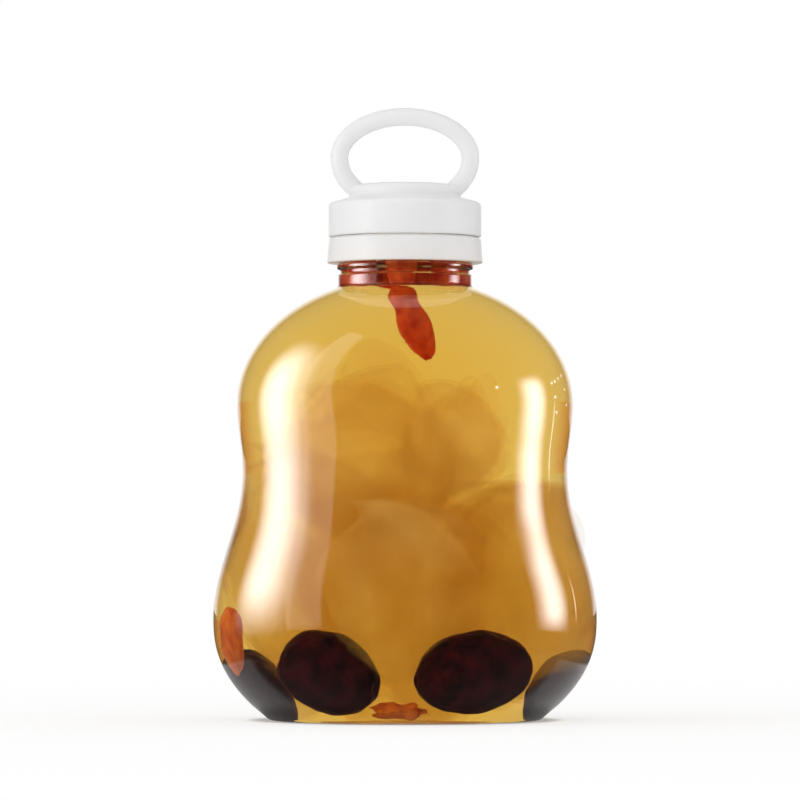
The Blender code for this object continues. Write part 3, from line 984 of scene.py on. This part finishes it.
def berryPlaces():
    still = Vector((0.0, 0.0, 0.0))
    # turn, shares of the length and width, bend, waist, how torn, and the way from the
    # middle of its solid
    step = 360 / berries["neckCount"]
    ring = [
        ((0, 0, berries["neckBearing"] + step * index), (1.0, 1.0), 0, 0, 0, still)
        for index in range(berries["neckCount"])
    ]
    loose = [
        ((0, 0, 40), (1.0, 1.0), 0, 0, 0, still),
        ((0, 0, 200), (1.0, 1.0), 0, 0.1, 0, still),
        ((8, -21, 0), (1.2, 1.0), -1.2 * mm, 0.3, 0, Vector((1.2, 0.0, 0.9)) * mm),
        ((0, 0, 17), (1.0, 1.35), 0, 0.1, 0.3 * mm, Vector((0.7, 0.4, 2.8)) * mm),
        ((0, 90, 0), (0.85, 0.8), 0, 0.3, 2.2 * mm, still),
    ]
    return ring + loose


berrySkin = berryLook("wolfberry", ((0.46, 0.03, 0.008), (0.78, 0.12, 0.022)))
paleSkin = berryLook("pale_wolfberry", ((0.56, 0.085, 0.006), (0.86, 0.22, 0.014)))
for index, (turn, shares, bend, waist, torn, way) in enumerate(berryPlaces()):
    node = f"wolfberry_{index + 1:02}"
    name = f"berry_{index + 1:02}"
    length, width = berries["length"] * shares[0], berries["width"] * shares[1]
    berry = makeBerry(name, length, width, bend, waist, torn)
    placed(berry, middleOf(node) + way, turn)
    smooth(berry, 70)
    skin = paleSkin if index >= berries["firstSoaked"] else berrySkin
    dress(berry, skin, "bottle", "wolfberry", node)
print("berries made")


# Snow fungus: clusters of thin ruffled fronds, nearly clear in the drink

fungus = {
    "rings": 8,
    "points": 48,
    "thickness": 0.7 * mm,
    "cup": 0.45,
    "ruffle": 0.07,
    "outline": (0.15, 0.09),  # two waves in a frond's outline
    "spread": 0.8,  # a frond's radius, as a share of its lobe's
    "unlike": (0.8, 1.0),  # and the range of the fronds' sizes
    "rise": (0.62, 0.84),  # from the lobe's middle to a frond's
    "wander": 0.3,
    "paintedShadeBelow": 35 * mm,
    "paintedLightAbove": 75 * mm,
    # the fronds of each lobe, and how much further than its solid it reaches to the left,
    # to the right, down and up
    "lobes": (
        (7, (0, 0, 12 * mm, 8 * mm)),
        (12, (0, 0, 12 * mm, 3 * mm)),
        (6, (0, 0, 11 * mm, 1 * mm)),
        (8, (0, 0, 9 * mm, 2 * mm)),
        (13, (10 * mm, 14 * mm, 24 * mm, 3 * mm)),
        (10, (5 * mm, -1.5 * mm, 6 * mm, 5 * mm)),
    ),
    "seed": 11,
}


def fungusLook():
    look = newLook("snow_fungus")
    patches = look.noise(9 * mm, 3.0)
    veins = look.noise(2.5 * mm, 4.0)
    reach = look.add("ShaderNodeAttribute", {"attribute_name": "reach"}).other("Fac")
    # painted shade: the fronds are darker and deeper amber towards the bottom, paler towards the
    # top
    up = look.split(look.place()).other("Z")
    sockets = {"Value": up, "From Min": fungus["paintedShadeBelow"], "From Max": fungus["paintedLightAbove"]}
    high = look.add("ShaderNodeMapRange", None, sockets)
    paintedShadeTones = look.ramp(patches, [(0.3, (0.52, 0.32, 0.07)), (0.7, (0.70, 0.49, 0.17))])
    paintedLightTones = look.ramp(patches, [(0.3, (0.76, 0.62, 0.38)), (0.7, (0.87, 0.78, 0.58))])
    body = look.principled(
        {
            "Base Color": look.blend(high, paintedShadeTones, paintedLightTones),
            "Roughness": patches * 0.2 + 0.4,
            "IOR": 1.05,
            "Normal": look.bump(veins, 0.4 * mm),
        }
    )
    behind = look.add("ShaderNodeBsdfTranslucent", None, {"Color": (0.79, 0.66, 0.40, 1.0)})
    veil = look.mixed(0.5, body, behind)
    clear = look.add("ShaderNodeBsdfTransparent", None, {"Color": (0.985, 0.975, 0.958, 1.0)})
    rim = look.ramp(reach, [(0.72, 1.0), (1.0, 0.3)])
    return look.surface(look.mixed((patches * 0.14 + 0.045) * rim, clear, veil))


def makeFrond(name, phase):
    # a disc drawn inwards ring by ring, then cupped, with a gently ruffled rim
    f = fungus
    frond = startFrom(
        bpy.ops.mesh.primitive_circle_add, name, vertices=f["points"], radius=1.0
    )
    bpy.ops.object.mode_set(mode="EDIT")
    bpy.ops.mesh.select_all(action="SELECT")
    for ring in range(f["rings"] - 1, 0, -1):
        share = ring / (ring + 1)
        bpy.ops.mesh.extrude_edges_move()
        bpy.ops.transform.resize(value=(share, share, 1.0))
    bpy.ops.mesh.edge_face_add()
    bpy.ops.mesh.poke()
    bpy.ops.object.mode_set(mode="OBJECT")
    reaches = frond.data.attributes.new("reach", "FLOAT", "POINT")
    for index, point in enumerate(frond.data.vertices):
        reach = math.hypot(point.co.x, point.co.y)
        reaches.data[index].value = reach
        around = math.atan2(point.co.y, point.co.x)
        wave = math.sin(3 * around + phase) + 0.6 * math.sin(5 * around - phase)
        edge = 1 + f["outline"][0] * math.sin(2 * around + 2 * phase)
        edge += f["outline"][1] * math.sin(4 * around - phase)
        point.co.x *= edge
        point.co.y *= edge
        point.co.z = -f["cup"] * reach**2 + f["ruffle"] * wave * reach**3
    return frond


def makeLobe(name, fronds, count, reach, chance):
    # fronds spread evenly over a lobe, each turned and sized by chance
    f = fungus
    low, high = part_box(name)
    low -= Vector((reach[0], 0.0, reach[2]))
    high += Vector((reach[1], 0.0, reach[3]))
    centre = (low + high) / 2
    half = (high - low) / 2
    made = []
    for index in range(count):
        rise = 1 - 2 * (index + 0.5) / count
        around = index * math.pi * (3 - math.sqrt(5))  # the golden angle
        around += chance.uniform(-f["wander"], f["wander"])
        flat = math.sqrt(1 - rise * rise)
        facing = Vector((flat * math.cos(around), flat * math.sin(around), rise))
        spin = Matrix.Rotation(chance.uniform(0, math.tau), 4, "Z")
        turn = facing.to_track_quat("Z", "Y").to_matrix().to_4x4()
        lift = Matrix.Translation(facing * chance.uniform(*f["rise"]))
        stretch = Matrix.Diagonal((*half, 1.0)) @ lift @ turn @ spin
        scale = Matrix.Scale(f["spread"] * chance.uniform(*f["unlike"]), 4)
        made.append(copied(chance.choice(fronds), Matrix.Translation(centre) @ stretch @ scale))
    lobe = joined(made, name.replace("fungus_lobe_", "fungus_fronds_"))
    applied(lobe, "SOLIDIFY", thickness=f["thickness"], offset=0.0)
    smooth(lobe, 80)
    return lobe


frondKinds = [makeFrond(f"frond_{kind}", 1.3 * kind) for kind in range(3)]
chance = random.Random(fungus["seed"])
fungusFlesh = fungusLook()
for number, (count, reach) in enumerate(fungus["lobes"], start=1):
    lobe = makeLobe(f"fungus_lobe_{number}", frondKinds, count, reach, chance)
    dress(lobe, fungusFlesh, "bottle", "snow_fungus", f"fungus_lobe_{number}")
for spent in frondKinds:
    bpy.data.objects.remove(spent, do_unlink=True)
print("snow fungus made")


# Small air bubbles against the wall, given by how far across and how high they are

bubbles = {
    "radius": 0.4 * mm,
    "flat": 0.85,
    "spots": [
        (40.6, 91.5),
        (39.8, 90.7),
        (38.9, 89.9),
        (38.1, 89.4),
        (41.5, 88.0),
        (39.0, 85.9),
        (42.0, 84.0),
        (39.4, 81.9),
        (23.7, 87.9),
    ],
}


def bubbleLook():
    look = newLook("air_bubble")
    # painted highlight: each bubble is mostly a near-white shine, fully so at its rim, and it
    # glows
    rim = look.add("ShaderNodeLayerWeight", None, {"Blend": 0.5}, 1)
    speck = look.noise(0.4 * mm)
    shades = [(0.3, (0.97, 0.93, 0.85)), (0.7, (1.0, 1.0, 0.97))]
    white = look.ramp(speck, shades)
    sockets = {"Base Color": white, "Roughness": speck * 0.2 + 0.1}
    sockets.update({"Emission Color": white, "Emission Strength": 0.5})  # painted glow for their sparkle, though they are no lamp
    shine = look.principled(sockets)
    clear = look.add("ShaderNodeBsdfTransparent", None, {"Color": grey(1.0)})
    return look.surface(look.mixed(rim * 0.4 + 0.6, clear, shine))


def makeBubbles():
    beads = []
    for x, z in bubbles["spots"]:
        reach = wallRadius(z * mm, bottle["wall"] + bubbles["radius"])
        y = -math.sqrt(reach**2 - (x * mm) ** 2)
        bead = startFrom(
            bpy.ops.mesh.primitive_ico_sphere_add,
            "bubble",
            subdivisions=3,
            radius=bubbles["radius"],
            location=(x * mm, y, z * mm),
        )
        stretched(bead, 1.0, bubbles["flat"], 1.0)
        settle(bead)
        beads.append(bead)
    return joined(beads, "air_bubbles")


bubbleBeads = makeBubbles()
smooth(bubbleBeads, 80)
dress(bubbleBeads, bubbleLook(), "bottle", "drink")
print("bubbles made")


# Floor, white surroundings, lamps and camera

studio = {
    "fill": 0.9,  # what the surroundings give to matt surfaces
    "mirrored": 0.05,  # and how bright they are in reflections
    "warmSide": (1.0, 0.64, 0.33, 1.0),  # the walls left and right, seen through the drink
    "backdropEdge": (0.87, 0.97),  # where its white ends, by how far a ray goes away from us
    "sideEdge": (0.62, 0.86),  # and where the walls begin, by how far it goes sideways
}

# Lamps: bearing and place from the bottle's axis, size and brightness. Soft says how much of
# the lamp fades at its left, right, lower and upper side, and without it the whole lamp fades.
lamps = {
    "leftPanel": {
        "azimuth": 84,
        "distance": 0.15,
        "height": 0.13,
        "size": (0.15, 0.26),
        "power": 13.0,
        "soft": (0.5, 0.5, 0.28, 0.55),
    },
    "leftVeil": {
        "azimuth": 65,
        "height": 0.4,
        "size": (0.14, 0.84),
        "lean": 6,
        "power": 1.3,
        "soft": (0.1, 0.1, 0.05, 0.1),
    },
    "rightStrip": {
        "azimuth": -93,
        "height": 0.095,
        "size": (0.18, 0.22),
        "power": 12.5,
        "soft": (0.5, 0.5, 0.3, 0.3),
    },
    "rightEdge": {"azimuth": -116, "height": 0.06, "size": (0.012, 0.10), "power": 4.5},
    "leftGlint": {"azimuth": 61, "height": 0.15, "size": (0.08, 0.06), "power": 8.0},
    "rightGlint": {"azimuth": -72, "height": 0.15, "size": (0.08, 0.06), "power": 8.0},
    "softPanel": {
        "azimuth": 65,
        "distance": 1.0,
        "height": 0.45,
        "size": (0.5, 1.1),
        "lean": 20,
        "power": 1.3,
        "soft": (0.1, 0.1, 0.1, 0.1),
    },
}
allSoft = (0.5, 0.5, 0.5, 0.5)


def surroundings(look, backdrop):
    # white to the camera and through the plastic, dimmer to matt surfaces, and in
    # reflections white only where the backdrop is
    path = look.add("ShaderNodeLightPath")
    through = path.other("Is Transmission Ray")
    seen = path.maths("MAXIMUM", path.other("Is Camera Ray"), through)
    mirrored = path.other("Is Glossy Ray") * (1 - seen)
    matt = (1 - seen) * (1 - mirrored)
    shown = path.maths("MAXIMUM", studio["mirrored"], backdrop)
    return seen + mirrored * shown + matt * studio["fill"]


def makeWorld():
    bpy.context.scene.world = bpy.data.worlds.new("studio")
    look = Look(bpy.context.scene.world)
    way = look.add("ShaderNodeTexCoord")
    across = look.split(way)
    backdrop = look.fade(across.other("Y"), *studio["backdropEdge"])
    side = look.fade(across.maths("ABSOLUTE", across), *studio["sideEdge"])
    through = look.add("ShaderNodeLightPath").other("Is Transmission Ray")
    colour = look.blend(side * through, grey(1.0), studio["warmSide"])
    sockets = {"Color": colour, "Strength": surroundings(look, backdrop)}
    back = look.add("ShaderNodeBackground", None, sockets)
    look.add("ShaderNodeOutputWorld", None, {"Surface": back})


# The floor: in reflections it shows a pale card under the bottle and a board on its right

ground = {
    "radius": 8.0,
    "edge": 6 * mm,  # in which card, board and painted shadow fade
    "slant": 0.38,  # how far their front edges run back to each side
    "cardFront": -43 * mm,
    "cardHalf": 83 * mm,
    "card": 0.4,
    "boardFront": -8 * mm,
    "boardEnd": 100 * mm,
    "board": 0.12,
    "paintedShadowRadius": 44 * mm,  # the bottle's shadow, painted on the floor under it
    "shade": 0.6,
}


def pastEdge(look, value, start=0.0):  # from 0 to 1 behind an edge
    return look.fade(value, start, start + ground["edge"])


def makeFloor():
    g = ground
    floor = startFrom(
        bpy.ops.mesh.primitive_circle_add,
        "floor",
        vertices=64,
        radius=g["radius"],
        fill_type="NGON",
    )
    look = newLook("floor")
    place = look.place()
    reach = look.add("ShaderNodeVectorMath", {"operation": "LENGTH"}, {0: place}, 1)
    near = look.ramp(reach, [(0.08, 0.35), (0.45, 0.0)])
    near = near * look.add("ShaderNodeLightPath").other("Is Camera Ray")
    paint = look.add("ShaderNodeBsdfDiffuse", None, {"Color": grey(1.0)})
    across = look.split(place)
    deep = across.other("Y")
    wide = across.maths("ABSOLUTE", across)
    card = pastEdge(look, deep - wide * g["slant"], g["cardFront"])
    card = card * pastEdge(look, g["cardHalf"] - wide)
    board = pastEdge(look, deep + across * g["slant"], g["boardFront"])
    board = board * pastEdge(look, across)
    board = board * pastEdge(look, g["boardEnd"] - across)
    # painted shadow: the floor's glow is dimmed under and round the bottle's foot
    lit = 1 - g["shade"] * pastEdge(look, g["paintedShadowRadius"] - reach)
    shown = lit * surroundings(look, card * g["card"] + board * g["board"])
    sockets = {"Color": grey(1.0), "Strength": shown}
    back = look.add("ShaderNodeEmission", None, sockets)
    floor.data.materials.append(look.surface(look.mixed(near, back, paint)))


def makeLamp(name, lit, azimuth, height, size, power, distance=0.3, lean=0, soft=allSoft):
    # shines only on the pieces in its list
    lamp = bpy.data.lights.new(name, "AREA")
    lamp.shape = "RECTANGLE"
    lamp.size, lamp.size_y = size
    lamp.energy = power * math.pi * size[0] * size[1]  # white is a power of 1
    look = Look(lamp)
    spot = look.add("ShaderNodeNewGeometry").other("Parametric")
    across = look.split(spot)
    up = across.other("Y")
    sides = look.fade(across, 0.0, soft[0]) * look.fade(1 - across, 0.0, soft[1])
    ends = look.fade(up, 0.0, soft[2]) * look.fade(1 - up, 0.0, soft[3])
    shine = look.add("ShaderNodeEmission", None, {"Strength": sides * ends})
    look.add("ShaderNodeOutputLight", None, {"Surface": shine})
    thing = bpy.data.objects.new(name, lamp)
    bpy.context.scene.collection.objects.link(thing)
    way = math.radians(azimuth)
    away = Vector((-math.sin(way), -math.cos(way), 0.0))
    thing.location = away * distance + Vector((0.0, 0.0, height))
    upright = away.to_track_quat("Z", "Y").to_matrix()
    thing.rotation_euler = (upright @ Matrix.Rotation(math.radians(lean), 3, "Z")).to_euler()
    thing.visible_camera = False
    thing.visible_transmission = False
    thing.light_linking.receiver_collection = bpy.data.collections.new(name)
    for piece in lit:
        thing.light_linking.receiver_collection.objects.link(piece)


view = {
    "lens": 234.0,
    "sensor": 36.0,
    "aside": -1.34 * mm,  # the bottle stands a little right of the picture's middle
    "distance": 1.394,
    "height": 46.8 * mm,
    "aim": 85.7 * mm,
}


def makeCamera():
    camera = bpy.data.objects.new("camera", bpy.data.cameras.new("camera"))
    bpy.context.scene.collection.objects.link(camera)
    camera.data.lens = view["lens"]
    camera.data.sensor_width = view["sensor"]
    camera.location = (view["aside"], -view["distance"], view["height"])
    aim = Vector((view["aside"], 0.0, view["aim"]))
    camera.rotation_euler = (aim - camera.location).to_track_quat("-Z", "Y").to_euler()
    bpy.context.scene.camera = camera


makeWorld()
makeFloor()
makeLamp("left_panel", [shell], **lamps["leftPanel"])
makeLamp("left_veil", [shell], **lamps["leftVeil"])
makeLamp("right_strip", [shell], **lamps["rightStrip"])
makeLamp("right_edge", [shell], **lamps["rightEdge"])
makeLamp("left_glint", [capShell, bandRing], **lamps["leftGlint"])
makeLamp("right_glint", [capShell, bandRing], **lamps["rightGlint"])
rest = [piece for piece in bpy.data.objects if piece.type == "MESH" and piece != shell]
makeLamp("soft_panel", rest, **lamps["softPanel"])
makeCamera()
bpy.context.scene.view_settings.view_transform = "Standard"
bpy.context.scene.cycles.max_bounces = 24
bpy.context.scene.cycles.transmission_bounces = 20
bpy.context.scene.cycles.transparent_max_bounces = 48
print("studio made")
